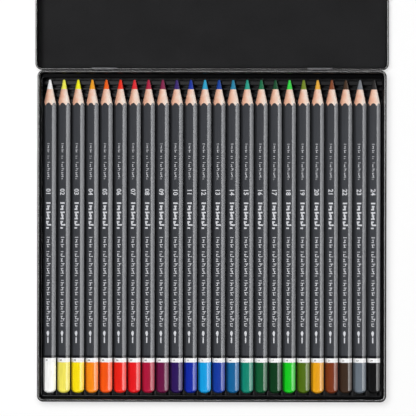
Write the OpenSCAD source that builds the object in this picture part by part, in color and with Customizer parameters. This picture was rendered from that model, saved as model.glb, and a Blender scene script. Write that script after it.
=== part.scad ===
// A flat hinged tin that holds one row of hexagonal coloured pencils.
// X runs across the row, Y runs from the front edge back to the hinge, Z is up.
// The tray stands on the plane z = 0 with its middle at the origin. The lid is drawn
// opened right back, lying on the same plane behind the tray.

/* [Pencils] */
// Length of a pencil from its domed end to its point
pencil_length = 176.7; // [150:0.1:185]
// Width of a barrel across two opposite flats
barrel_flats = 6.7; // [5.8:0.05:7.2]
// How far each of the barrel's six edges is rounded away
edge_loss = 0.295; // [0.1:0.005:0.4]
// Space between two barrels, measured at their edges
pencil_gap = 0.79; // [0.5:0.01:1.6]
// Half of the angle that a sharpened point has
point_angle = 12.3; // [9:0.1:14]
// Radius of the worn tip of the core
tip_radius = 0.65; // [0.3:0.05:0.9]
// Diameter of the coloured core
core_diameter = 3.4; // [2.8:0.1:4]
// Space all round the core in its bore
core_play = 0.02; // [0.01:0.01:0.05]
// Height of the dome on the blind end
dome_height = 1.85; // [1:0.05:2.4]
// Wood and lacquer that close the blind end
end_wall = 1.2; // [0.8:0.1:3]
// Length of the coloured dip, dome included
dip_length = 17.6; // [10:0.1:26]
// Length of the white ring in front of the dip
ring_length = 2.4; // [1:0.1:4]

/* [Insert] */
// Thickness of the moulded sheet
insert_sheet = 0.4; // [0.3:0.05:0.5]
// Height of the channels' underside over the tray's floor
channel_lift = 2.2; // [1.6:0.1:4]
// Space between a barrel's flats and its channel
channel_play = 0.1; // [0.05:0.01:0.2]
// How far the ridges between pencils stop below the pencils' axes
ridge_drop = 0.8; // [0.5:0.05:1.4]
// Space beside the first and the last pencil
side_room = 0.7; // [0.3:0.05:2]
// Space behind the domed ends
dome_room = 0.95; // [0.5:0.05:3]
// Space in front of the points
point_room = 0.85; // [0.5:0.05:3]
// How far the insert's top edge lies below the tops of the pencils
ledge_drop = 0.8; // [0.4:0.1:2]
// Width of the ledge along the front edge
front_ledge = 1.45; // [1:0.05:4]
// Width of the ledge along the rear edge
rear_ledge = 2.1; // [1:0.05:4]
// Height of the floor under the points over the tray's floor
well_lift = 0.8; // [0.5:0.05:1.2]
// Distance from the points back to the end of the channels
well_length = 10.9; // [10.7:0.1:12]
// Space between a cross rib and the cones above it
rib_play = 0.25; // [0.15:0.05:0.5]
// Distance from the points to the far side of each cross rib
rib_places = [0.5, 4.4, 7.4];
// Width of each cross rib
rib_widths = [2.5, 1.4, 2.6];

/* [Tin] */
// Thickness of the tinplate
tin_sheet = 0.3; // [0.2:0.05:0.35]
// Outer radius of the tray's rolled rim
tray_roll = 0.85; // [0.7:0.05:1.1]
// Outer radius of the lid's rolled rim, which is also the hinge pin
lid_roll = 0.6; // [0.5:0.05:0.8]
// Corner radius of the tray's wall, outside
tray_corner = 2; // [1.6:0.1:3]
// Corner radius of the lid's wall, inside
lid_corner = 2.6; // [2:0.1:3]
// Space between the end of a rolled rim and the wall it is rolled from
roll_play = 0.12; // [0.08:0.01:0.2]
// Radius of the bend between a floor and its wall, outside
floor_bend = 0.8; // [0.5:0.05:1]
// Space between the insert and the tray's wall
insert_play = 0.35; // [0.2:0.05:0.6]
// Space between the insert's feet and the tray's floor
foot_play = 0.2; // [0.15:0.05:0.4]
// Height of the tray's rim over the pencils
rim_rise = 2.65; // [2.5:0.05:6]
// Space between the tray's rim and the closed lid
lid_play = 0.35; // [0.3:0.05:0.6]

/* [Hinge] */
// Distance between the middles of the two hinge straps
strap_spacing = 121.4; // [60:0.1:150]
// Width of the part of a strap that wraps round the lid's rolled rim
strap_width = 14; // [8:0.5:20]
// Width of the neck that joins a strap to the tray
neck_width = 7; // [5:0.5:8]
// Thickness of a strap
strap_sheet = 0.35; // [0.25:0.05:0.4]
// Angle that a strap wraps round the lid's rolled rim
strap_wrap = 290; // [260:5:300]
// Running space between a strap and the rolled rim inside it
strap_play = 0.07; // [0.03:0.01:0.1]
// Space between a strap and the slot in the lid's skirt
slot_play = 0.3; // [0.3:0.05:0.6]

/* [Hidden] */
$fn = 64;
pencil_count = 24;

// hexagonal barrel, rounded so that lengths which add it up in different ways still agree
steps_per_mm = 1000;
edge_radius = round(steps_per_mm * (barrel_flats / 2 / cos(30) - edge_loss)) / steps_per_mm;
pencil_pitch = 2 * edge_radius + pencil_gap;
seam_turn = 20; // starts the turned surface on a flat, clear of the rounded edges
core_radius = core_diameter / 2;
bore_radius = core_radius + core_play;
tip_reach = tip_radius / sin(point_angle) - tip_radius; // from the worn tip to the cone's own apex

// heights
foot_z = tin_sheet + foot_play;
channel_z = tin_sheet + channel_lift + insert_sheet;
pencil_z = channel_z + channel_play + barrel_flats / 2;
ridge_z = pencil_z - ridge_drop;
ledge_z = pencil_z + barrel_flats / 2 - ledge_drop;
well_z = tin_sheet + well_lift;
rim_z = pencil_z + barrel_flats / 2 + rim_rise;
closed_height = rim_z + lid_play + tin_sheet;
hinge_z = closed_height / 2;

// plan sizes, from the row of pencils outwards
row_width = (pencil_count - 1) * pencil_pitch + 2 * edge_radius;
recess_width = row_width + 2 * side_room;
recess_depth = dome_room + pencil_length + point_room;
insert_width = recess_width + 2 * insert_sheet;
insert_depth = recess_depth + front_ledge + rear_ledge;
tray_inside = [insert_width + 2 * insert_play, insert_depth + 2 * insert_play];
tray_rim = [tray_inside.x + 4 * tray_roll, tray_inside.y + 4 * tray_roll];
lid_inside = [tray_rim.x + 2 * lid_play, tray_rim.y + 2 * lid_play];
recess_front = front_ledge - insert_depth / 2;
recess_rear = recess_front + recess_depth;
dome_y = recess_front + dome_room;
point_y = dome_y + pencil_length;
channels_end = point_y - well_length;
insert_corner = tray_corner - tin_sheet - insert_play;
recess_corner = insert_corner - insert_sheet;
channel_ends = recess_width / 2 + insert_sheet / 2; // half of the channel sheet's width

// hinge
hinge_y = lid_inside.y / 2 + lid_roll;
strap_inside = lid_roll + strap_play;
strap_outside = strap_inside + strap_sheet;

// colours of the cores and dips, from left to right
palette = [
    "#f0f0ec", // white
    "#f0e25c", // pale yellow
    "#fae003", // yellow
    "#f88a0a", // orange-yellow
    "#f55405", // orange
    "#ec1e0e", // light red
    "#e51118", // red
    "#ad153a", // crimson
    "#680c41", // purple-red
    "#2b1656", // violet
    "#0424a0", // ultramarine
    "#069de0", // light blue
    "#0a369c", // blue
    "#086098", // mid blue
    "#04846e", // turquoise
    "#065630", // green
    "#043818", // dark green
    "#0ac418", // bright green
    "#4d6a06", // olive
    "#e6a008", // golden ochre
    "#783210", // sienna
    "#3a281c", // dark brown
    "#646e78", // grey
    "#141414"  // black
];
tin_colour = "#202022";
lid_colour = "#2a2a2c";
insert_colour = "#101012";
barrel_colour = "#3f4147";
wood_colour = "#eec8a6";
ring_colour = "#f8f8f8";

function two_digits(number) = str(number < 10 ? "0" : "", number);
function casing_name(index) = str("pencil_", two_digits(index + 1), "_casing");
function core_name(index) = str("pencil_", two_digits(index + 1), "_core");
function pencil_x(index) = (index - (pencil_count - 1) / 2) * pencil_pitch;
// radius of a sharpened cone at a distance behind the worn tip
function cone_radius(behind) = (behind + tip_reach) * tan(point_angle);
// distance behind the worn tip at which the cone has a radius
function cone_place(radius) = radius / tan(point_angle) - tip_reach;
// half of a channel's width at a depth below the pencil's axis, with its wall set out by some spacing
function channel_half(depth, spacing) = (barrel_flats / 2 + spacing - depth * sin(30)) / cos(30);

// ---- shared shapes ----

// part of a flat ring, counted anticlockwise from the angle start
module ring_sector(outer, sheet, start, sweep) {
    steps = 6; // few, as the fan's straight edges stay well outside the ring
    reach = 3 * outer;
    fan = [for (k = [0 : steps]) reach * [cos(start + k * sweep / steps), sin(start + k * sweep / steps)]];
    intersection() {
        difference() {
            circle(outer);
            circle(outer - sheet);
        }
        polygon(concat([[0, 0]], fan));
    }
}

module rounded_plan(width, depth, radius) {
    square([width, depth - 2 * radius], center = true);
    square([width - 2 * radius, depth], center = true);
    for (x = [-1, 1], y = [-1, 1])
        translate([x * (width / 2 - radius), y * (depth / 2 - radius)]) circle(radius);
}

// a wall round a rounded plan, where width and depth are measured at radius from the corners'
// centres, and the profile is drawn with x as the distance from a corner's centre
module wall_round(width, depth, radius) {
    for (side = [0 : 3]) {
        across = side % 2 == 0 ? width : depth;
        along = side % 2 == 0 ? depth : width;
        rotate([0, 0, 90 * side]) {
            translate([across / 2 - radius, 0, 0])
                rotate([90, 0, 0]) linear_extrude(along - 2 * radius, center = true) children();
            translate([across / 2 - radius, along / 2 - radius, 0])
                rotate_extrude(angle = 90) children();
        }
    }
}

// a floor with a bend up into a wall, for a wall whose outer face is at radius
module pan_profile(radius, wall_top) {
    square([radius - floor_bend, tin_sheet]);
    translate([radius - floor_bend, floor_bend]) ring_sector(floor_bend, tin_sheet, -90, 90);
    translate([radius - tin_sheet, floor_bend]) square([tin_sheet, wall_top - floor_bend]);
}

// a rim rolled outwards from a wall, with the end of the sheet left short of the wall
module roll_profile(radius, roll, height) {
    end_angle = acos((tin_sheet + roll_play - roll) / roll);
    translate([radius - tin_sheet + roll, height]) ring_sector(roll, tin_sheet, -end_angle, 180 + end_angle);
}

// ---- tray ----

module hinge_strap() {
    rotate([90, 0, 90]) linear_extrude(strap_width, center = true)
        ring_sector(strap_outside, strap_sheet, -90, strap_wrap);
    neck_start = tray_inside.y / 2 + tin_sheet / 2 - hinge_y;
    translate([-neck_width / 2, neck_start, -strap_outside]) cube([neck_width, -neck_start, strap_sheet]);
}

module tray_shell() {
    roll_z = rim_z - tray_roll;
    wall_face = [tray_inside.x + 2 * tin_sheet, tray_inside.y + 2 * tin_sheet];
    color(tin_colour) union() {
        translate([-wall_face.x / 2 + tray_corner, -wall_face.y / 2 + tray_corner, 0])
            cube([wall_face.x - 2 * tray_corner, wall_face.y - 2 * tray_corner, tin_sheet]);
        wall_round(wall_face.x, wall_face.y, tray_corner) {
            union() {
                pan_profile(tray_corner, roll_z);
                roll_profile(tray_corner, tray_roll, roll_z);
            }
        }
        for (side = [-1, 1])
            translate([side * strap_spacing / 2, hinge_y, hinge_z]) hinge_strap();
    }
}

// ---- moulded insert ----

// the channels' upper outline from left to right, or their underside with spacing and drop set
function channel_line(spacing, drop) = [
    for (i = [0 : pencil_count - 1]) each [
        [pencil_x(i) - channel_half(ridge_drop + drop, spacing), ridge_z - drop],
        [pencil_x(i) - channel_half(pencil_z - channel_z + drop, spacing), channel_z - drop],
        [pencil_x(i) + channel_half(pencil_z - channel_z + drop, spacing), channel_z - drop],
        [pencil_x(i) + channel_half(ridge_drop + drop, spacing), ridge_z - drop]
    ]
];
function reversed(list) = [for (k = [len(list) - 1 : -1 : 0]) list[k]];

module across_y(from, to) {
    translate([0, to, 0]) rotate([90, 0, 0]) linear_extrude(to - from) children();
}

module channel_sheet() {
    upper = channel_line(channel_play, 0);
    under = reversed(channel_line(channel_play + insert_sheet, insert_sheet));
    across_y(recess_front - insert_sheet / 2, channels_end)
        polygon(concat(
            [[-channel_ends, ridge_z]], upper, [[channel_ends, ridge_z]],
            [[channel_ends, ridge_z - insert_sheet]], under, [[-channel_ends, ridge_z - insert_sheet]]
        ));
    across_y(channels_end - insert_sheet, channels_end)
        polygon(concat(
            [[-channel_ends, ridge_z]], upper, [[channel_ends, ridge_z]],
            [[channel_ends, well_z], [-channel_ends, well_z]]
        ));
}

function rib_top(k) = pencil_z - cone_radius(rib_places[k] + rib_widths[k]) - rib_play;

// floor under the points with three hollow ribs across it, each as high as the cones let it be
module point_well() {
    floor_depth = recess_rear + insert_sheet / 2 - channels_end;
    difference() {
        union() {
            translate([-channel_ends, channels_end - insert_sheet / 2, well_z])
                cube([2 * channel_ends, floor_depth + insert_sheet / 2, insert_sheet]);
            for (k = [0 : len(rib_places) - 1])
                translate([-channel_ends, point_y - rib_places[k] - rib_widths[k], well_z])
                    cube([2 * channel_ends, rib_widths[k], rib_top(k) - well_z]);
        }
        for (k = [0 : len(rib_places) - 1])
            translate([-recess_width / 2, point_y - rib_places[k] - rib_widths[k] + insert_sheet, 0])
                cube([recess_width, rib_widths[k] - 2 * insert_sheet, rib_top(k) - insert_sheet]);
    }
}

module recess_plan(spacing) {
    translate([0, (recess_front + recess_rear) / 2])
        rounded_plan(recess_width + 2 * spacing, recess_depth + 2 * spacing, recess_corner + spacing);
}

module pencil_insert() {
    color(insert_colour) union() {
        // outer wall, which stands on the tray's floor
        translate([0, 0, foot_z]) linear_extrude(ledge_z - foot_z) difference() {
            rounded_plan(insert_width, insert_depth, insert_corner);
            rounded_plan(insert_width - 2 * insert_sheet, insert_depth - 2 * insert_sheet, recess_corner);
        }
        // ledge round the recess
        translate([0, 0, ledge_z - insert_sheet]) linear_extrude(insert_sheet) difference() {
            rounded_plan(insert_width, insert_depth, insert_corner);
            recess_plan(0);
        }
        // wall of the recess
        translate([0, 0, well_z]) linear_extrude(ledge_z - well_z) difference() {
            recess_plan(insert_sheet);
            recess_plan(0);
        }
        channel_sheet();
        point_well();
    }
}

// ---- lid ----

module lid_shell() {
    wall_face = [lid_inside.x + 2 * tin_sheet, lid_inside.y + 2 * tin_sheet];
    corner = lid_corner + tin_sheet;
    slot_radius = strap_outside + slot_play;
    pin_radius = lid_roll + strap_play / 2; // the slot stops here, just clear of the rolled rim
    slot_length = strap_width + 2 * slot_play;
    color(lid_colour) translate([0, hinge_y, 0]) difference() {
        translate([0, hinge_y, 0]) union() {
            translate([-wall_face.x / 2 + corner, -wall_face.y / 2 + corner, 0])
                cube([wall_face.x - 2 * corner, wall_face.y - 2 * corner, tin_sheet]);
            wall_round(wall_face.x, wall_face.y, corner) {
                union() {
                    pan_profile(corner, hinge_z);
                    roll_profile(corner, lid_roll, hinge_z);
                }
            }
        }
        for (side = [-1, 1]) {
            translate([side * strap_spacing / 2, 0, hinge_z]) rotate([0, 90, 0]) difference() {
                cylinder(r = slot_radius, h = slot_length, center = true);
                cylinder(r = pin_radius, h = 2 * slot_length, center = true);
            }
        }
    }
}

// ---- pencils, drawn upright with the domed end at z = 0 ----

module casing_form() {
    wood_end = pencil_length - cone_place(bore_radius);
    cone_start = pencil_length - cone_place(edge_radius);
    dome_radius = (edge_radius * edge_radius + dome_height * dome_height) / (2 * dome_height);
    intersection() {
        cylinder(d = barrel_flats / cos(30), h = pencil_length, $fn = 6);
        rotate([0, 0, seam_turn]) rotate_extrude() difference() {
            union() {
                intersection() {
                    translate([0, dome_radius]) circle(dome_radius);
                    square([edge_radius, dome_height]);
                }
                polygon([
                    [0, dome_height], [edge_radius, dome_height], [edge_radius, cone_start],
                    [bore_radius, wood_end], [0, wood_end]
                ]);
            }
            translate([0, end_wall]) square([bore_radius, pencil_length]);
        }
    }
}

module casing_section(from, to, tint) {
    color(tint) intersection() {
        casing_form();
        translate([-barrel_flats, -barrel_flats, from]) cube([2 * barrel_flats, 2 * barrel_flats, to - from]);
    }
}

module pencil_casing(index) {
    cone_start = pencil_length - cone_place(barrel_flats / 2);
    casing_section(0, dip_length, palette[index]);
    casing_section(dip_length, dip_length + ring_length, ring_colour);
    casing_section(dip_length + ring_length, cone_start, barrel_colour);
    casing_section(cone_start, pencil_length, wood_colour);
}

module pencil_core(index) {
    core_start = end_wall + core_play;
    cone_start = pencil_length - cone_place(core_radius);
    ball_z = pencil_length - tip_radius;
    ball_cut = ball_z + tip_radius * sin(point_angle); // where the cone meets the worn tip
    color(palette[index]) rotate_extrude() {
        polygon([
            [0, core_start], [core_radius, core_start], [core_radius, cone_start],
            [tip_radius * cos(point_angle), ball_cut], [0, ball_cut]
        ]);
        intersection() {
            translate([0, ball_z]) circle(tip_radius);
            translate([0, ball_cut]) square([tip_radius, tip_radius]);
        }
    }
}

module in_channel(index) {
    translate([pencil_x(index), dome_y, pencil_z]) rotate([-90, 0, 0]) children();
}

tray_shell();
pencil_insert();
lid_shell();
for (i = [0 : pencil_count - 1]) {
    in_channel(i) pencil_casing(i);
    in_channel(i) pencil_core(i);
}
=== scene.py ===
import math

import bmesh
import bpy
import numpy as np
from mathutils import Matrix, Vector


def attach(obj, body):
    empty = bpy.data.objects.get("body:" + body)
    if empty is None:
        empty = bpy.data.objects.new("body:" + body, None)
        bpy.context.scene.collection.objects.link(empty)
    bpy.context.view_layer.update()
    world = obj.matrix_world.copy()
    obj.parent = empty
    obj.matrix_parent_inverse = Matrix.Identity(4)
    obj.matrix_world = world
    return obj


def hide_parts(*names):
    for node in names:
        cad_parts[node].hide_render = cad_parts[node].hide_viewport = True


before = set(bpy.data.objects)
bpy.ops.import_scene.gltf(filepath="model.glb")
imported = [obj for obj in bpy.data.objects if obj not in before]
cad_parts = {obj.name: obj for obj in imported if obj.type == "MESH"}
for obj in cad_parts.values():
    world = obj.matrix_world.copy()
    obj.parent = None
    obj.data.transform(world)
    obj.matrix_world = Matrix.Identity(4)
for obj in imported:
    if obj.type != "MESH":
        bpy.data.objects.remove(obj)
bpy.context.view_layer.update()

mm = 0.001  # everything below is written in millimetres and scaled once
sharpFrom = 40  # degrees between two faces from which their edge isn't shaded smooth
evenMix = [(0.3, 0.0), (0.7, 1.0)]  # how noise mixes two colours
sharperMix = [(0.35, 0.0), (0.65, 1.0)]


class Wire:
    # a shader socket that takes part in plain arithmetic
    def __init__(self, recipe, socket):
        self.recipe = recipe
        self.socket = socket

    def joined(self, operation, first, second):
        return self.recipe.node("ShaderNodeMath", {"operation": operation}, {0: first, 1: second})

    def __add__(self, other):
        return self.joined("ADD", self, other)

    def __radd__(self, other):
        return self.joined("ADD", other, self)

    def __sub__(self, other):
        return self.joined("SUBTRACT", self, other)

    def __rsub__(self, other):
        return self.joined("SUBTRACT", other, self)

    def __mul__(self, other):
        return self.joined("MULTIPLY", self, other)

    def __rmul__(self, other):
        return self.joined("MULTIPLY", other, self)


class Recipe:
    # a node tree that is filled from the top down
    def __init__(self, tree):
        self.tree = tree
        self.tree.nodes.clear()

    def node(self, kind, settings=None, values=None, out=0):
        made = self.tree.nodes.new(kind)
        for key, value in (settings or {}).items():
            if key == "stops":
                while len(made.color_ramp.elements) < len(value):
                    made.color_ramp.elements.new(1.0)
                for element, (place, level) in zip(made.color_ramp.elements, value):
                    element.position = place
                    element.color = (level, level, level, 1.0)
            else:
                setattr(made, key, value)
        for key, value in (values or {}).items():
            if isinstance(value, Wire):
                self.tree.links.new(value.socket, made.inputs[key])
            else:
                made.inputs[key].default_value = value
        return Wire(self, made.outputs[out]) if len(made.outputs) else None

    def where(self):
        # the piece's own coordinates, in millimetres
        place = self.node("ShaderNodeTexCoord", out=3)
        return self.node("ShaderNodeVectorMath", {"operation": "SCALE"}, {0: place, "Scale": 1000.0})

    def stretched(self, place, factors):
        return self.node("ShaderNodeVectorMath", {"operation": "MULTIPLY"}, {0: place, 1: factors})

    def axis(self, place, index):
        return self.node("ShaderNodeSeparateXYZ", values={0: place}, out=index)

    def noise(self, place, scale, detail=2.0, roughness=0.5):
        values = {"Vector": place, "Scale": scale, "Detail": detail, "Roughness": roughness}
        return self.node("ShaderNodeTexNoise", {"noise_dimensions": "3D"}, values)

    def ramp(self, factor, stops):
        return self.node("ShaderNodeValToRGB", {"stops": stops}, {0: factor})

    def blend(self, factor, first, second):
        return self.node("ShaderNodeMix", {"data_type": "RGBA"}, {0: factor, 6: first, 7: second}, out=2)

    def bump(self, height, strength, distance):
        values = {"Height": height, "Strength": strength, "Distance": distance * mm}
        return self.node("ShaderNodeBump", values=values)


def srgb(red, green, blue):
    # a colour as a picture shows it, turned into the light values that shaders use
    levels = [value / 255 for value in (red, green, blue)]
    lifted = [v / 12.92 if v <= 0.04045 else ((v + 0.055) / 1.055) ** 2.4 for v in levels]
    return (*lifted, 1.0)


def scaled(colour, factor, lift=0.0):
    return (*[min(level * factor + lift, 1.0) for level in colour[:3]], 1.0)


def finish(name, build, **constants):
    # a material whose varying inputs come from build, and whose constants are set on the shader
    material = bpy.data.materials.new(name)
    material.use_nodes = True
    recipe = Recipe(material.node_tree)
    shader = recipe.node("ShaderNodeBsdfPrincipled", values={**constants, **build(recipe)})
    recipe.node("ShaderNodeOutputMaterial", values={"Surface": shader})
    return material


class Sheets:
    # gathers the points, faces and material numbers of one piece, in millimetres
    def __init__(self):
        self.points = []
        self.faces = []
        self.pick = []

    def add(self, points, faces, look=0):
        base = len(self.points)
        self.points += points
        self.faces += [tuple(base + k for k in face) for face in faces]
        self.pick += [look] * len(faces)

    def made(self, name, materials, across=0.0):
        mesh = bpy.data.meshes.new(name)
        mesh.from_pydata([((x + across) * mm, y * mm, z * mm) for x, y, z in self.points], [], self.faces)
        for material in materials:
            mesh.materials.append(material)
        mesh.polygons.foreach_set("material_index", self.pick)
        mesh.polygons.foreach_set("use_smooth", [True] * len(mesh.polygons))
        mesh.set_sharp_from_angle(angle=math.radians(sharpFrom))
        mesh.update()
        piece = bpy.data.objects.new(name, mesh)
        bpy.context.scene.collection.objects.link(piece)
        return piece


def arc(centre, radius, start, sweep, steps):
    turns = [math.radians(start + sweep * k / steps) for k in range(steps + 1)]
    return [(centre[0] + radius * math.cos(turn), centre[1] + radius * math.sin(turn)) for turn in turns]


def loftFaces(rows, columns, closed=True):
    # quads between rows of points that were added one row after another
    faces = []
    span = columns if closed else columns - 1
    for r in range(rows - 1):
        for c in range(span):
            d = (c + 1) % columns
            low = r * columns
            high = low + columns
            faces.append((low + c, low + d, high + d, high + c))
    return faces


shot = {
    "middle": (-2.18, 15.8),  # what the picture's middle looks at
    "frameWidth": 233.8,
    "lens": 200,
    "focusHeight": 9.4,
    "roll": 0.1,  # degrees
}

camera = bpy.data.cameras.new("camera")
camera.lens = shot["lens"]
camera.sensor_width = 36
camera.clip_start = 0.05
camera.clip_end = 60
cameraObject = bpy.data.objects.new("camera", camera)
reach = shot["frameWidth"] * camera.lens / camera.sensor_width + shot["focusHeight"]
cameraObject.location = Vector((*shot["middle"], reach)) * mm
cameraObject.rotation_euler = (0, 0, math.radians(shot["roll"]))
bpy.context.scene.collection.objects.link(cameraObject)
bpy.context.scene.camera = cameraObject
bpy.context.scene.view_settings.view_transform = "Standard"

studio = {
    "floorColour": (0.97, 0.97, 0.97, 1.0),
    "floorGlow": 0.5,  # how much of the floor's white is shown outright to the camera and in reflections
    "skyLow": 0.3,  # how bright the sky is near the horizon, and overhead
    "skyHigh": 0.08,
    # each lamp's place, size, power in watts, the group that it lights and the sorts of light it gives;
    # unlike real lamps, each gives only brightness or only gloss, and only to its own group
    "lamps": {
        "key": ((-640, 40, 1180), (800, 420), 9.0, "tin", ("diffuse",)),
        "keyGloss": ((-640, 40, 1180), (800, 420), 76.0, "tin", ("glossy",)),
        "back": ((0, 540, 1150), (1300, 300), 5.0, "tin", ("diffuse",)),
        "backGloss": ((0, 540, 1150), (1300, 260), 160.0, "shells", ("glossy",)),
        "over": ((90, 60, 1200), (800, 800), 11.2, "pencils", ("diffuse",)),
        "front": ((-40, -900, 640), (900, 400), 7.0, "pencils", ("diffuse",)),
        "sheen": ((1000, -20, 130), (1100, 360), 11.5, "inside", ("glossy",)),
        "paper": ((-120, 110, 1200), (600, 600), 15.2, "floor", ("diffuse",)),
    },
    "through": ("sheen",),  # lamps whose light nothing stands in the way of
}


def areaLight(name, place, size, power, sorts):
    lamp = bpy.data.lights.new(name, "AREA")
    lamp.shape = "RECTANGLE"
    lamp.size = size[0] * mm
    lamp.size_y = size[1] * mm
    lamp.energy = power
    holder = bpy.data.objects.new(name, lamp)
    holder.location = Vector(place) * mm
    holder.rotation_euler = (-holder.location).to_track_quat("-Z", "Y").to_euler()  # its X is level
    holder.visible_camera = False
    holder.visible_diffuse = "diffuse" in sorts
    holder.visible_glossy = "glossy" in sorts
    bpy.context.scene.collection.objects.link(holder)
    return holder


def linkLight(holder, name, pieces, way):
    # lets a lamp reach only some pieces, or lets its light pass through some
    chosen = bpy.data.collections.new(holder.name + name)
    if name == "Reach":
        holder.light_linking.receiver_collection = chosen
    else:
        holder.light_linking.blocker_collection = chosen
    for piece in pieces:
        chosen.objects.link(piece)
    for member in chosen.collection_objects:
        member.light_linking.link_state = way


def makeStudio(settings, made):
    world = bpy.data.worlds.new("studio")
    bpy.context.scene.world = world
    world.use_nodes = True
    sky = Recipe(world.node_tree)
    up = sky.axis(sky.node("ShaderNodeTexCoord"), 2)
    low = settings["skyLow"]
    high = settings["skyHigh"]
    shade = sky.ramp(up, [(0.0, low), (0.08, low), (0.45, high), (1.0, high)])
    glow = sky.node("ShaderNodeBackground", values={"Color": shade, "Strength": 1.0})
    sky.node("ShaderNodeOutputWorld", values={"Surface": glow})

    half = 30000
    ground = Sheets()
    ground.add([(-half, -half, 0), (half, -half, 0), (half, half, 0), (-half, half, 0)], [(0, 1, 2, 3)])
    paper = bpy.data.materials.new("floorPaper")
    paper.use_nodes = True
    recipe = Recipe(paper.node_tree)
    soft = recipe.node("ShaderNodeBsdfDiffuse", values={"Color": settings["floorColour"]})
    white = recipe.node("ShaderNodeEmission", values={"Color": (1, 1, 1, 1), "Strength": 1.0})
    seen = recipe.node("ShaderNodeLightPath", out="Is Camera Ray")
    for sort in ("Is Glossy Ray", "Is Transmission Ray"):
        seen = seen + recipe.node("ShaderNodeLightPath", out=sort)
    seen = seen * settings["floorGlow"]
    mixed = recipe.node("ShaderNodeMixShader", values={0: seen, 1: soft, 2: white})
    recipe.node("ShaderNodeOutputMaterial", values={"Surface": mixed})
    floor = ground.made("floor", [paper])

    groups = {**made, "floor": [floor]}
    groups["shells"] = groups["tin"][:2]
    groups["inside"] = groups["pencils"] + groups["tin"][2:]
    everything = groups["tin"] + groups["pencils"] + [floor]
    for name, (place, size, power, group, sorts) in settings["lamps"].items():
        lamp = areaLight(name, place, size, power, sorts)
        linkLight(lamp, "Reach", groups[group], "INCLUDE")
        if name in settings["through"]:
            linkLight(lamp, "Block", everything, "EXCLUDE")


tin = {
    "trayInside": (192.574, 182.75),
    "trayCorner": 2.0,  # corner radii are those of the wall's outer face
    "trayRoll": 0.85,
    "trayRollHeight": 11.5,
    "lidInside": (196.674, 186.85),
    "lidCorner": 2.9,
    "lidRoll": 0.6,
    "sheet": 0.3,
    "bend": 0.8,
    "rollPlay": 0.12,
    "hinge": (94.025, 6.5),  # how far back and how high the lid's axis lies
    "slotLow": 5.31,
    "slotHalf": 7.3,
    "strapPlaces": (-60.7, 60.7),
    "strapHalf": 7.0,
    "strapEndHalf": 3.9,
    "neckHalf": 3.5,
    "strapRadii": (0.67, 1.02),
    "strapWrap": 290,  # degrees that a strap reaches round the lid's rim
    "strapEdge": [(0.0, 0.07), (0.03, 0.02), (0.1, 0.0)],  # its rounding: from the side, from the top
    "lacquer": srgb(12, 12, 13),
    "roughness": 0.2,
    "lining": (srgb(41, 41, 42), srgb(48, 48, 49)),
    "liningRoughness": 0.85,
    # painted reflection: the straps' grey, lighter than the lacquer, stands in for the light that they
    # reflect
    "strap": srgb(84, 84, 87),
}


def rolledRim(radius, roll, height):
    # the section of a wall: under the floor, up the outside, round the rolled rim, down the inside
    sheet = tin["sheet"]
    bend = tin["bend"]
    centre = (radius - sheet + roll, height)
    opening = math.degrees(math.acos((sheet + tin["rollPlay"] - roll) / roll))
    flat = radius - bend - 0.4  # where the floor's flat part begins
    outside = [(flat, 0.0)] + arc((radius - bend, bend), bend, -90, 90, 6)
    outside.append((radius, tin["slotLow"]))
    rim = arc(centre, roll - sheet, 180, -180 - opening, 18)
    rim += arc(centre, roll, -opening, 180 + opening, 40)
    inside = [(radius - sheet, tin["slotLow"])] + arc((radius - bend, bend), bend - sheet, 0, -90, 6)
    inside.append((flat, sheet))
    return outside, rim, inside


def panSheets(inside, radius, roll, height, middle=0.0, slots=(), floorLook=0):
    # sweeps the section round a rounded plan; a slot leaves the rolled rim whole and cuts the wall below
    outside, rim, inner = rolledRim(radius, roll, height)
    section = outside + rim + inner
    columns = len(section)
    wallOut = len(outside) - 1  # the strips of the outer and the inner wall, which a slot cuts
    wallIn = wallOut + len(rim)
    halfWidth = inside[0] / 2 + tin["sheet"] - radius
    halfDepth = inside[1] / 2 + tin["sheet"] - radius
    steps = 12  # in each corner
    firstSlot = 3 * (steps + 1)  # the station after three corners
    stations = []
    for corner, (sideX, sideY) in enumerate([(1, 1), (-1, 1), (-1, -1), (1, -1)]):
        if corner == 3:
            stations += [(x, -halfDepth, 270) for x in slots]
        for k in range(steps + 1):
            stations.append((sideX * halfWidth, sideY * halfDepth, 90 * corner + 90 * k / steps))
    rows = len(stations)
    points = []
    for x, y, turn in stations:
        outX = math.cos(math.radians(turn))
        outY = math.sin(math.radians(turn))
        points += [(x + away * outX, middle + y + away * outY, z) for away, z in section]
    faces = []
    lined = []
    for r in range(rows):
        here = r * columns
        there = (r + 1) % rows * columns
        slotted = r - firstSlot in range(0, len(slots), 2)
        for k in range(columns - 1):
            if slotted and k in (wallOut, wallIn):
                continue
            sheet = lined if k > wallIn else faces
            sheet.append((here + k, there + k, there + k + 1, here + k + 1))
        if slotted:
            lowOut, highOut, highIn, lowIn = wallOut, wallOut + 1, wallIn, wallIn + 1
            faces.append((here + lowOut, there + lowOut, there + lowIn, here + lowIn))
            faces.append((here + highIn, there + highIn, there + highOut, here + highOut))
            faces.append((here + lowIn, here + highIn, here + highOut, here + lowOut))
            faces.append((there + lowOut, there + highOut, there + highIn, there + lowIn))
    faces.append(tuple(reversed([r * columns for r in range(rows)])))
    lined.append(tuple(r * columns + columns - 1 for r in range(rows)))
    # the inner faces get points of their own, so that each finish is shaded by itself
    pan = Sheets()
    pan.add(points, faces)
    pan.add(points, lined, floorLook)
    return pan


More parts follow.
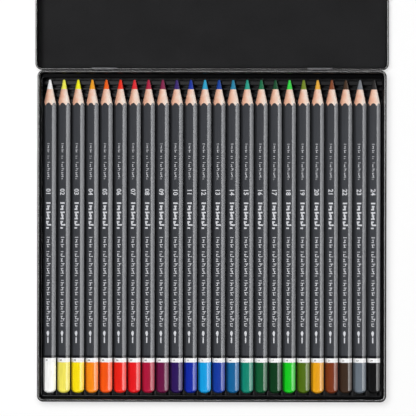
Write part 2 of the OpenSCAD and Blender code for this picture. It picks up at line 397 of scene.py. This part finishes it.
def strapSheets(pan, place, look):
    # a strip round the lid's rolled rim, narrower at its free end, and the neck that joins it to the tray
    low, high = tin["strapRadii"]
    backward, height = tin["hinge"]
    points = []
    steps = 48
    for k in range(steps + 1):
        turn = math.radians(-90 + tin["strapWrap"] * k / steps)
        forward = math.cos(turn)
        upward = math.sin(turn)
        narrowed = min(1.0, max(0.0, 0.05 - forward * high) / 0.8) if k > steps / 3 else 0.0
        half = tin["strapHalf"] + (tin["strapEndHalf"] - tin["strapHalf"]) * narrowed
        left = [(-half, low)] + [(aside - half, high - down) for aside, down in tin["strapEdge"]]
        around = left + [(-across, radius) for across, radius in reversed(left)]
        points += [(place + across, backward + radius * forward, height + radius * upward)
                   for across, radius in around]
    size = len(around)
    ends = [tuple(range(size)), tuple(reversed(range(steps * size, steps * size + size)))]
    pan.add(points, [tuple(reversed(face)) for face in loftFaces(steps + 1, size) + ends], look)
    wall = tin["trayInside"][1] / 2 + tin["sheet"] / 2
    half = tin["neckHalf"]
    plan = [(place - half, wall), (place + half, wall), (place + half, backward), (place - half, backward)]
    corners = [(x, y, z) for z in (height - high, height - low) for x, y in plan]
    sides = [(0, 1, 5, 4), (1, 2, 6, 5), (2, 3, 7, 6), (3, 0, 4, 7)]
    pan.add(corners, [(3, 2, 1, 0), (4, 5, 6, 7)] + sides, look)


def tinLacquer(name, colour):
    def build(recipe):
        place = recipe.where()
        cloud = recipe.noise(place, 0.05, 3.0)
        speck = recipe.noise(place, 1.6, 3.0, 0.6)
        peel = recipe.noise(place, 2.4, 2.0)
        return {
            "Base Color": recipe.blend(recipe.ramp(cloud, evenMix), colour, scaled(colour, 1.15)),
            "Roughness": tin["roughness"] + (speck - 0.5) * 0.05 + (cloud - 0.5) * 0.02,
            "Normal": recipe.bump(peel + speck * 0.5, 0.01, 0.01),
        }

    return finish(name, build, **{"IOR": 1.6})


def matteLining():
    def build(recipe):
        place = recipe.where()
        cloud = recipe.noise(place, 0.04, 3.0)
        speck = recipe.noise(place, 1.8, 3.0, 0.6)
        return {
            "Base Color": recipe.blend(recipe.ramp(cloud * 0.6 + speck * 0.4, sharperMix), *tin["lining"]),
            "Roughness": tin["liningRoughness"] + (speck - 0.5) * 0.2,
            "Normal": recipe.bump(speck, 0.15, 0.03),
        }

    return finish("matteLining", build, **{"IOR": 1.5, "Specular IOR Level": 0.0})


def strapFinish():
    def build(recipe):
        place = recipe.where()
        patch = recipe.noise(recipe.stretched(place, (0.5, 2.0, 2.0)), 1.1, 4.0, 0.65)
        fine = recipe.noise(place, 4.0, 3.0, 0.6)
        # painted reflection: the straps are painted a lighter grey than the lacquer, in uneven patches
        deep = scaled(tin["strap"], 0.45)
        return {
            "Base Color": recipe.blend(recipe.ramp(patch, sharperMix), deep, tin["strap"]),
            "Roughness": 0.5 + (fine - 0.5) * 0.2 + (patch - 0.5) * 0.2,
            "Normal": recipe.bump(patch + fine * 0.5, 0.2, 0.03),
        }

    return finish("strapFinish", build, **{"Metallic": 0.05, "IOR": 1.5, "Specular IOR Level": 0.1})


def makeTin():
    lacquer = tinLacquer("tinLacquer", tin["lacquer"])
    tray = panSheets(tin["trayInside"], tin["trayCorner"], tin["trayRoll"], tin["trayRollHeight"])
    for place in tin["strapPlaces"]:
        strapSheets(tray, place, 1)
    trayPiece = tray.made("trayShell", [lacquer, strapFinish()])
    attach(trayPiece, "tin")
    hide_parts("tray_shell")

    slots = []
    for place in tin["strapPlaces"]:
        slots += [place - tin["slotHalf"], place + tin["slotHalf"]]
    backward, height = tin["hinge"]
    lid = panSheets(tin["lidInside"], tin["lidCorner"], tin["lidRoll"], height, 2 * backward, slots, 1)
    lidPiece = lid.made("lidShell", [lacquer, matteLining()])
    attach(lidPiece, "lid")
    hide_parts("lid_shell")
    return [trayPiece, lidPiece]


made = {"tin": makeTin()}
print("tin and lid made")


insert = {
    "halfWidth": 95.937,
    "halfDepth": 91.025,
    "corner": 1.35,
    "recessHalfWidth": 95.537,
    "recessFront": -89.575,
    "recessRear": 88.925,
    "recessCorner": 0.95,
    "lipHeight": 8.9,
    "lip": 0.2,  # radius of the rounded lip round the recess
    "footHeight": 0.5,
    "channelHeight": 2.8,
    "ridgeHeight": 5.55,
    "channelsEnd": 77.175,
    "wellHeight": 1.5,
    "ribs": [(78.075, 80.675, 3.396), (82.275, 83.675, 4.312), (85.075, 87.575, 4.922)],  # from, to, top
    "shoulder": 0.4,  # rounding of the ribs' edges
    "tuck": 0.2,  # how far the channels and the well reach into the recess's walls
    "softness": 0.28,  # rounding of the channels' bends
    "spacing": 0.2,  # between a barrel and its channel
    # the walls and ledges, the channels with their well, and the lip's painted highlight: two colours,
    # roughness, gloss
    "looks": [
        ("insertPlastic", (srgb(6, 6, 7), srgb(11, 11, 13)), 0.22, 0.04),
        ("insertSatin", (srgb(9, 10, 13), srgb(15, 16, 20)), 0.5, 0.08),
        ("insertEdge", (srgb(40, 40, 42), srgb(62, 62, 65)), 0.26, 0.4),
    ],
}

row = {
    "count": 24,
    "pitch": 7.936,
    "height": 6.35,
    "flats": 6.7,
    "edgeRadius": 3.66,
    "front": -88.625,
    "length": 176.7,
}


def pencilX(index):
    return (index - (row["count"] - 1) / 2) * row["pitch"]


perCorner = 7  # points in each corner of the insert's outlines


def roundedLoop(halfWidth, low, high, radius):
    points = []
    centres = [
        (halfWidth - radius, high - radius, 0),
        (-halfWidth + radius, high - radius, 90),
        (-halfWidth + radius, low + radius, 180),
        (halfWidth - radius, low + radius, 270),
    ]
    for x, y, start in centres:
        for k in range(perCorner):
            angle = math.radians(start + 90 * k / (perCorner - 1))
            points.append((x + radius * math.cos(angle), y + radius * math.sin(angle)))
    return points


def channelProfile():
    # the channels' upper outline with every bend rounded
    half = row["flats"] / 2 + insert["spacing"]
    ridge = insert["ridgeHeight"]
    channel = insert["channelHeight"]
    side = insert["recessHalfWidth"] + insert["tuck"]
    corners = [(-side, ridge)]
    for i in range(row["count"]):
        for way, level in ((-1, ridge), (-1, channel), (1, channel), (1, ridge)):
            depth = row["height"] - level
            reach = (half - depth * 0.5) / math.cos(math.radians(30))
            corners.append((pencilX(i) + way * reach, level))
    corners.append((side, ridge))
    return softened(corners, insert["softness"], 4)


def softened(corners, softness, steps):
    # cuts each corner of an open outline with a short curve
    points = [corners[0]]
    for before, corner, after in zip(corners, corners[1:], corners[2:]):
        here = np.array(corner)
        ends = []
        for other in (before, after):
            run = np.array(other) - here
            size = np.linalg.norm(run)
            ends.append(here + run / size * min(softness, size * 0.45))
        for k in range(steps + 1):
            t = k / steps
            points.append(tuple((1 - t) ** 2 * ends[0] + 2 * t * (1 - t) * here + t * t * ends[1]))
    points.append(corners[-1])
    return points


def insertPlastic(name, colours, rough, gloss):
    def build(recipe):
        place = recipe.where()
        grain = recipe.noise(place, 3.0, 4.0, 0.65)
        flow = recipe.noise(recipe.stretched(place, (0.05, 0.6, 0.4)), 1.0, 3.0)
        return {
            "Base Color": recipe.blend(recipe.ramp(flow, [(0.3, 0.0), (0.75, 1.0)]), *colours),
            "Roughness": rough + (grain - 0.5) * 0.16 + (flow - 0.5) * 0.1,
            "Normal": recipe.bump(grain + flow, 0.15, 0.02),
        }

    return finish(name, build, **{"IOR": 1.5, "Specular IOR Level": gloss})


def ribSection():
    # from the channels' end to the rear wall: a low floor with three ribs that have rounded shoulders
    well = insert["wellHeight"]
    shoulder = insert["shoulder"]
    section = [(insert["channelsEnd"], well)]
    for low, high, top in insert["ribs"]:
        section.append((low, well))
        section += arc((low + shoulder, top - shoulder), shoulder, 180, -90, 5)
        section += arc((high - shoulder, top - shoulder), shoulder, 90, -90, 5)
        section.append((high, well))
    section.append((insert["recessRear"] + insert["tuck"], well))
    return section


def makeInsert():
    piece = Sheets()
    outer = (insert["halfWidth"], -insert["halfDepth"], insert["halfDepth"], insert["corner"])
    inner = (insert["recessHalfWidth"], insert["recessFront"], insert["recessRear"], insert["recessCorner"])
    lip = insert["lip"]
    bead = insert["lipHeight"] - lip
    loops = [(outer, 0.0, insert["footHeight"]), (outer, 0.0, bead - 0.1), (outer, 0.01, bead - 0.05)]
    loops += [(inner, d - lip, z) for d, z in arc((0, bead), lip - 0.01, 180, -180, 10)]
    loops += [(inner, 0.0, bead - 0.2), (inner, 0.0, insert["wellHeight"] - insert["tuck"])]
    points = []
    for (half, low, high, radius), inset, height in loops:
        loop = roundedLoop(half - inset, low + inset, high - inset, radius - inset)
        points += [(x, y, height) for x, y in loop]
    faces = loftFaces(len(loops), len(loop))
    piece.add(points, faces)
    # painted highlight: the lip is painted paler along the left and the front, where a light line falls on
    # it
    lipFaces = range(3 * len(loop), 13 * len(loop))
    leftToFront = range(perCorner, 3 * perCorner + 1)
    piece.pick = [2 if k in lipFaces and k % len(loop) in leftToFront else 0 for k in range(len(faces))]

    # the channels, their end wall, and the well with its ribs, as one sheet
    profile = channelProfile()
    end = insert["channelsEnd"]
    stations = [(insert["recessFront"] - insert["tuck"], 0.0), (end - 0.62, 0.0)]
    stations += [(end - 0.32, 0.02), (end - 0.16, 0.08), (end - 0.06, 0.2)]
    points = []
    for y, drop in stations:
        points += [(x, y, z - drop) for x, z in profile]
    section = ribSection()
    for y, z in section:
        points += [(x, y, z) for x, _ in profile]
    faces = loftFaces(len(stations) + len(section), len(profile), closed=False)
    piece.add(points, [tuple(reversed(face)) for face in faces], 1)

    shaped = piece.made("pencilInsert", [insertPlastic(*look) for look in insert["looks"]])
    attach(shaped, "tin")
    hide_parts("pencil_insert")
    return shaped


made["tin"].append(makeInsert())
print("insert made")


pencil = {
    "crown": 14.0,  # radius of the slight bulge of each flat
    "turn": 10.5,  # degrees by which every pencil lies rolled over in its channel, its right side up
    "domeHeight": 1.85,
    "dipLength": 17.6,
    "ringLength": 2.4,
    "bandLength": 1.5,
    "coreRadius": 1.7,
    "boreRadius": 1.72,
    "pointAngle": 11.9,
    "tipRadius": 0.7,
    "coreStart": 1.22,
    "lacquer": srgb(68, 70, 75),
    "band": srgb(16, 16, 22),
    "ring": srgb(246, 246, 246),
    "wood": (srgb(250, 196, 168), srgb(238, 174, 144)),  # pale and dark fibres
    # painted light: the pale colour that the wood's right side is painted towards
    "woodPale": srgb(255, 249, 238),
    "print": (srgb(172, 173, 178), srgb(218, 219, 223)),
}

# dips and cores from left to right: the dip's colour, then the core's own
palette = [
    ("white", (249, 249, 246), (252, 252, 252)),
    ("paleYellow", (240, 227, 92), (242, 236, 84)),
    ("yellow", (250, 224, 3), (252, 238, 20)),
    ("amber", (248, 138, 10), (240, 160, 30)),
    ("orange", (245, 85, 5), (242, 96, 10)),
    ("lightRed", (236, 30, 14), (236, 44, 22)),
    ("red", (229, 17, 24), (226, 40, 48)),
    ("crimson", (173, 15, 56), (176, 32, 66)),
    ("plum", (104, 12, 65), (134, 34, 76)),
    ("violet", (43, 16, 88), (58, 38, 112)),
    ("ultramarine", (4, 36, 160), (20, 52, 158)),
    ("skyBlue", (6, 157, 224), (44, 164, 204)),
    ("blue", (10, 54, 156), (14, 66, 156)),
    ("midBlue", (8, 96, 152), (34, 130, 166)),
    ("turquoise", (4, 132, 110), (38, 156, 136)),
    ("green", (6, 86, 48), (22, 108, 70)),
    ("darkGreen", (4, 56, 24), (20, 78, 46)),
    ("brightGreen", (10, 196, 24), (54, 210, 70)),
    ("olive", (77, 106, 6), (114, 134, 32)),
    ("ochre", (230, 160, 8), (234, 174, 60)),
    ("sienna", (120, 50, 16), (132, 70, 40)),
    ("darkBrown", (58, 40, 28), (72, 50, 34)),
    ("grey", (100, 110, 120), (120, 124, 130)),
    ("black", (12, 12, 13), (40, 38, 38)),
]


def hexColumns():
    # points round a barrel whose flats bulge slightly and whose edges are rounded
    crown = pencil["crown"]
    edge = row["edgeRadius"]
    offset = crown - row["flats"] / 2
    lean = 2 * offset * math.cos(math.radians(30))
    fillet = (crown ** 2 - edge ** 2 - lean * edge - offset ** 2) / (2 * crown - 2 * edge - lean)
    spread = math.degrees(math.asin((edge - fillet) * 0.5 / (crown - fillet)))
    columns = []
    for k in range(6):
        facet = 90 + 60 * k + pencil["turn"]
        turn = math.radians(facet)
        behind = (-offset * math.cos(turn), -offset * math.sin(turn))
        columns += arc(behind, crown, facet - 0.78 * spread, 1.56 * spread, 6)
        corner = math.radians(facet + 30)
        middle = ((edge - fillet) * math.cos(corner), (edge - fillet) * math.sin(corner))
        columns += arc(middle, fillet, facet + spread, 60 - 2 * spread, 6)
    return columns


def coneRadius(behind):
    slope = math.radians(pencil["pointAngle"])
    return (behind + pencil["tipRadius"] / math.sin(slope) - pencil["tipRadius"]) * math.tan(slope)


def conePlace(radius):
    slope = math.radians(pencil["pointAngle"])
    return radius / math.tan(slope) - pencil["tipRadius"] / math.sin(slope) + pencil["tipRadius"]


def casingRows(columns):
    # rows of (distance from the domed end, scale) for every column, each with the finish that follows it
    length = row["length"]
    height = pencil["domeHeight"]
    edge = max(math.hypot(*c) for c in columns)
    domeRadius = (edge * edge + height * height) / (2 * height)
    dip = pencil["dipLength"]
    ring = dip + pencil["ringLength"]
    band = ring + pencil["bandLength"]
    table = []

    def domeAt(radius):
        return domeRadius - math.sqrt(domeRadius ** 2 - radius ** 2)

    for share in (0.02, 0.25, 0.45, 0.62, 0.76, 0.86):
        table.append(([(domeAt(share * math.hypot(*c)), share) for c in columns], "dip"))
    for t in (0.25, 0.5, 0.75, 1.0):
        cells = []
        for c in columns:
            r = math.hypot(*c)
            first = (domeAt(0.86 * r), 0.86 * r)
            bend = (domeAt(r), r)
            last = (domeAt(r) + 0.75, r)
            cells.append(tuple(
                (1 - t) ** 2 * a + 2 * t * (1 - t) * b + t * t * d for a, b, d in zip(first, bend, last)))
        table.append(([(s, r / math.hypot(*c)) for (s, r), c in zip(cells, columns)], "dip"))

    def straight(station, extra, look):
        table.append(([(station, 1 + extra / math.hypot(*c)) for c in columns], look))

    straight(6.0, 0.0, "dip")
    straight(dip - 0.5, 0.0, "dip")
    straight(dip - 0.05, 0.018, "dip")
    straight(dip, 0.0, "ring")
    straight(ring - 0.04, 0.006, "ring")
    straight(ring, 0.0, "band")
    straight(band, 0.0, "lacquer")
    straight(band + 0.4, 0.0, "lacquer")
    straight(length * 0.5, 0.0, "lacquer")
    starts = [length - conePlace(math.hypot(*c)) for c in columns]
    table.append(([(s - 1.0, 1.0) for s in starts], "lacquer"))
    table.append(([(s - 0.12, 1.0) for s in starts], "lacquer"))
    table.append(([(s, 1 - 0.03 / math.hypot(*c)) for s, c in zip(starts, columns)], "wood"))
    woodEnd = length - conePlace(pencil["boreRadius"])
    for t in (0.03, 0.12, 0.3, 0.5, 0.7, 0.85, 1.0):
        cells = []
        for s, c in zip(starts, columns):
            station = s + (woodEnd - s) * t
            cells.append((station, coneRadius(length - station) / math.hypot(*c)))
        table.append((cells, "wood"))
    inBore = pencil["coreRadius"] - 0.02
    table.append(([(woodEnd - 0.3, inBore / math.hypot(*c)) for c in columns], "wood"))
    return table


lookOrder = ["dip", "ring", "band", "lacquer", "wood", "print"]


def casingShape():
    columns = hexColumns()
    table = casingRows(columns)
    points = []
    pick = []
    for cells, look in table:
        for (station, share), (x, z) in zip(cells, columns):
            points.append((x * share, row["front"] + station, z * share + row["height"]))
    faces = loftFaces(len(table), len(columns))
    for r in range(len(table) - 1):
        pick += [lookOrder.index(table[r][1])] * len(columns)
    points.append((0, row["front"], row["height"]))
    for c in range(len(columns)):
        faces.append((len(points) - 1, (c + 1) % len(columns), c))
        pick.append(0)
    return points, faces, pick


def coreShape(columns=36):
    # a cylinder in the bore, the cone in line with the wood, and a blunt round tip
    slope = math.radians(pencil["pointAngle"])
    length = row["length"]
    tip = pencil["tipRadius"]
    core = pencil["coreRadius"]
    outline = [(pencil["coreStart"], 0.01), (pencil["coreStart"], core)]
    coneStart = length - conePlace(core)
    outline.append((coneStart, core))
    ballCut = length - tip + tip * math.sin(slope)
    for t in (0.02, 0.33, 0.66, 1.0):
        station = coneStart + (ballCut - coneStart) * t
        outline.append((station, coneRadius(length - station)))
    for k in range(1, 7):
        angle = slope + (math.pi / 2 - slope) * k / 6
        outline.append((length - tip + tip * math.sin(angle), max(0.004, tip * math.cos(angle))))
    points = []
    for station, radius in outline:
        y = row["front"] + station
        for c in range(columns):
            angle = 2 * math.pi * c / columns
            points.append((radius * math.cos(angle), y, row["height"] + radius * math.sin(angle)))
    faces = loftFaces(len(outline), columns)
    return points, faces


# silver marks on the top flat: rows of bars, each row with its start along the pencil, the number of bars
# in each group, the distance between bars, the gap after a group, and a bar's width and height
marks = {
    "lift": 0.01,  # how far they stand proud of the flat
    "strip": 0.4,  # width of the strips in which they follow the flat's bulge
    "small": {"start": 51.9, "groups": [5, 2, 9], "pitch": 1.15, "gap": 1.2, "bar": 0.26, "tall": 1.45},
    "bold": {"start": 18.9, "groups": [9], "pitch": 1.75, "gap": 0.0, "bar": 0.85, "tall": 2.5},
    "fine": {"start": -0.6, "groups": [5, 11, 7, 12], "pitch": 1.35, "gap": 1.3, "bar": 0.36, "tall": 2.0},
    "numberStart": 26.6,
    "numberSize": 3.7,
    "dropStart": -53.2,
    "ringNumber": 1.35,  # size of the number on the ring, and how far left of the middle it stands
    "ringAside": 0.9,
    "heights": [1.0, 0.62, 0.7, 1.0, 0.58, 0.8, 0.64],
    "links": [0.0, 0.55, 0.0, 0.3, 0.75, 0.0, 0.12, 0.0, 0.45],  # how high a short bridge joins two bars
}


def barRow(settings, sheets):
    y = settings["start"]
    bar = settings["bar"]
    foot = -settings["tall"] / 2
    turn = 0
    for count in settings["groups"]:
        for k in range(count):
            tall = settings["tall"] * marks["heights"][turn % 7]
            low = foot + (0.16 * settings["tall"] if turn % 3 == 1 else 0.0)
            upright = [(low, y, 0), (low, y - bar, 0), (low + tall, y - bar, 0), (low + tall, y, 0)]
            sheets.add(upright, [(0, 1, 2, 3)])
            link = marks["links"][turn % 9]
            if link and k < count - 1:
                beside = low + (tall - bar) * link
                far = y - settings["pitch"]
                near = y - bar
                over = beside + bar
                bridge = [(beside, near, 0), (beside, far, 0), (over, far, 0), (over, near, 0)]
                sheets.add(bridge, [(0, 1, 2, 3)])
            turn += 1
            y -= settings["pitch"]
        y -= settings["gap"]


def dropMark(sheets):
    # a small leaf on a stem
    start = marks["dropStart"]
    outline = []
    for k in range(13):
        t = k / 12
        outline.append((0.85 * math.sin(math.pi * t ** 0.75), start - 3.4 * t))
    left = [(-x - 0.1, y, 0) for x, y in outline]
    right = [(x * 0.75 - 0.1, y, 0) for x, y in outline]
    sheets.add(left + right, [(k, k + 1, 14 + k, 13 + k) for k in range(12)])
    low = start - 6.9
    high = start - 3.7
    sheets.add([(-0.5, high, 0), (-0.5, low, 0), (0.2, low, 0), (0.2, high, 0)], [(0, 1, 2, 3)])


def draped(sheets):
    # cuts flat marks into narrow strips along the pencil and lays them on its bulging flat
    work = bmesh.new()
    made = [work.verts.new(point) for point in sheets.points]
    for face in sheets.faces:
        work.faces.new([made[k] for k in face])
    for step in range(-4, 5):
        parts = work.verts[:] + work.edges[:] + work.faces[:]
        middle = (step * marks["strip"], 0, 0)
        bmesh.ops.bisect_plane(work, geom=parts, dist=0.0001, plane_co=middle, plane_no=(1, 0, 0))
    work.verts.index_update()
    base = row["flats"] / 2 - pencil["crown"] + marks["lift"]
    turn = math.radians(pencil["turn"])
    points = []
    for x, y, _ in (v.co for v in work.verts):
        z = base + math.sqrt(pencil["crown"] ** 2 - x * x)
        over = x * math.cos(turn) - z * math.sin(turn)
        points.append((over, y, row["height"] + x * math.sin(turn) + z * math.cos(turn)))
    faces = [tuple(v.index for v in face.verts) for face in work.faces]
    work.free()
    return points, faces


def digitMesh(text, size):
    # the number's outline as flat triangles, read along +X with its foot on y = 0
    curve = bpy.data.curves.new("digits", "FONT")
    curve.body = text
    curve.size = size
    curve.resolution_u = 2
    curve.offset = 0.02 * size
    holder = bpy.data.objects.new("digits", curve)
    bpy.context.scene.collection.objects.link(holder)
    bpy.context.view_layer.update()
    mesh = bpy.data.meshes.new_from_object(holder)
    points = [tuple(v.co) for v in mesh.vertices]
    faces = [tuple(p.vertices) for p in mesh.polygons]
    bpy.data.objects.remove(holder)
    bpy.data.curves.remove(curve)
    bpy.data.meshes.remove(mesh)
    return points, faces


def plasticDip(name, colour):
    def build(recipe):
        place = recipe.where()
        run = recipe.noise(recipe.stretched(place, (1.0, 0.12, 1.0)), 0.9, 3.0)
        fine = recipe.noise(place, 2.2, 2.0)
        return {
            "Base Color": recipe.blend(recipe.ramp(run, evenMix), scaled(colour, 0.86), colour),
            "Roughness": 0.4 + (fine - 0.5) * 0.14,
            "Normal": recipe.bump(run * 0.6 + fine * 0.4, 0.08, 0.03),
        }

    return finish(name, build, **{"IOR": 1.5, "Coat Weight": 0.3, "Coat Roughness": 0.3})


def barrelLacquer():
    colour = pencil["lacquer"]

    def build(recipe):
        place = recipe.where()
        grain = recipe.noise(recipe.stretched(place, (2.0, 0.06, 2.0)), 1.6, 3.0)
        fine = recipe.noise(place, 2.6, 2.0)
        return {
            "Base Color": recipe.blend(recipe.ramp(grain, evenMix), scaled(colour, 0.84), colour),
            "Roughness": 0.42 + (fine - 0.5) * 0.12 + (grain - 0.5) * 0.08,
            "Normal": recipe.bump(grain * 0.7 + fine * 0.3, 0.05, 0.03),
        }

    return finish("barrelLacquer", build, **{"Metallic": 0.2, "IOR": 1.75})


def plainLacquer(name, colour, rough):
    def build(recipe):
        place = recipe.where()
        fine = recipe.noise(place, 2.4, 2.0)
        return {
            "Base Color": recipe.blend(recipe.ramp(fine, evenMix), scaled(colour, 0.93), colour),
            "Roughness": rough + (fine - 0.5) * 0.14,
            "Normal": recipe.bump(fine, 0.1, 0.02),
        }

    return finish(name, build, **{"IOR": 1.5})


def sharpenedWood():
    def build(recipe):
        place = recipe.where()
        fibre = recipe.noise(recipe.stretched(place, (2.6, 0.16, 2.6)), 1.3, 4.0, 0.6)
        cut = recipe.noise(recipe.stretched(place, (0.3, 3.6, 0.3)), 1.0, 2.0)
        cloud = recipe.noise(place, 0.35, 2.0)
        tone = recipe.blend(recipe.ramp(fibre, [(0.35, 0.0), (0.72, 1.0)]), *pencil["wood"])
        # painted light: the wood is painted paler towards the right, as if lit from that side
        side = recipe.axis(recipe.node("ShaderNodeTexCoord"), 0) + (cloud - 0.5) * 0.5
        tone = recipe.blend(recipe.ramp(side, [(0.3, 0.0), (0.8, 0.85)]), tone, pencil["woodPale"])
        return {
            "Base Color": tone,
            "Roughness": 0.55 + (fibre - 0.5) * 0.2,
            "Normal": recipe.bump(fibre + cut * 0.5, 0.25, 0.05),
        }

    return finish("sharpenedWood", build, **{"IOR": 1.45})


def waxyCore(name, colour):
    def build(recipe):
        place = recipe.where()
        pigment = recipe.noise(place, 2.8, 4.0, 0.7)
        cut = recipe.noise(recipe.stretched(place, (0.4, 4.5, 0.4)), 1.0, 2.0)
        deep = scaled(colour, 1.05)
        pale = scaled(colour, 1.15, 0.02)
        return {
            "Base Color": recipe.blend(recipe.ramp(pigment, [(0.35, 0.0), (0.68, 1.0)]), deep, pale),
            "Roughness": 0.5 + (pigment - 0.5) * 0.2,
            "Normal": recipe.bump(pigment * 0.5 + cut, 0.3, 0.05),
        }

    return finish(name, build, **{"IOR": 1.45, "Specular IOR Level": 0.3})


def silverPrint():
    def build(recipe):
        place = recipe.where()
        patch = recipe.noise(place, 3.4, 3.0, 0.7)
        return {
            "Base Color": recipe.blend(recipe.ramp(patch, [(0.3, 0.0), (0.55, 1.0)]), *pencil["print"]),
            "Roughness": 0.42 + (patch - 0.5) * 0.2,
        }

    return finish("silverPrint", build, **{"IOR": 1.5})


def makePencils():
    shared = {
        "ring": plainLacquer("ringLacquer", pencil["ring"], 0.4),
        "band": plainLacquer("bandLacquer", pencil["band"], 0.35),
        "lacquer": barrelLacquer(),
        "wood": sharpenedWood(),
        "print": silverPrint(),
    }
    shellPoints, shellFaces, shellPick = casingShape()
    corePoints, coreFaces = coreShape()
    common = Sheets()
    for name in ("small", "bold", "fine"):
        barRow(marks[name], common)
    dropMark(common)
    commonMarks = draped(common)
    ringMiddle = row["front"] + pencil["dipLength"] + pencil["ringLength"] / 2
    pieces = []

    for i, (name, dip, lead) in enumerate(palette):
        number = f"{i + 1:02d}"
        casing = Sheets()
        casing.points += shellPoints
        casing.faces += shellFaces
        casing.pick += shellPick
        casing.add(*commonMarks, lookOrder.index("print"))

        flat, faces = digitMesh(number, marks["numberSize"])
        tall = max(p[1] for p in flat)
        digits = Sheets()
        digits.add([(y - tall / 2, marks["numberStart"] - x, 0) for x, y, _ in flat], faces)
        casing.add(*draped(digits), lookOrder.index("print"))

        flat, faces = digitMesh(number, marks["ringNumber"])
        tall = max(p[1] for p in flat)
        wide = max(p[0] for p in flat)
        digits = Sheets()
        middle = -marks["ringAside"] - wide / 2
        digits.add([(middle + x, ringMiddle + y - tall / 2, 0) for x, y, _ in flat], faces)
        casing.add(*draped(digits), lookOrder.index("band"))

        dress = [plasticDip(name + "Dip", srgb(*dip))] + [shared[look] for look in lookOrder[1:]]
        shaped = casing.made(f"pencil{number}Casing", dress, pencilX(i))
        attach(shaped, f"pencil_{number}")
        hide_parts(f"pencil_{number}_casing")
        pieces.append(shaped)

        core = Sheets()
        core.add(corePoints, coreFaces)
        shaped = core.made(f"pencil{number}Core", [waxyCore(name + "Core", srgb(*lead))], pencilX(i))
        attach(shaped, f"pencil_{number}")
        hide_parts(f"pencil_{number}_core")
        pieces.append(shaped)
    print("pencils made:", len(palette))
    return pieces


made["pencils"] = makePencils()
makeStudio(studio, made)
print("studio made")
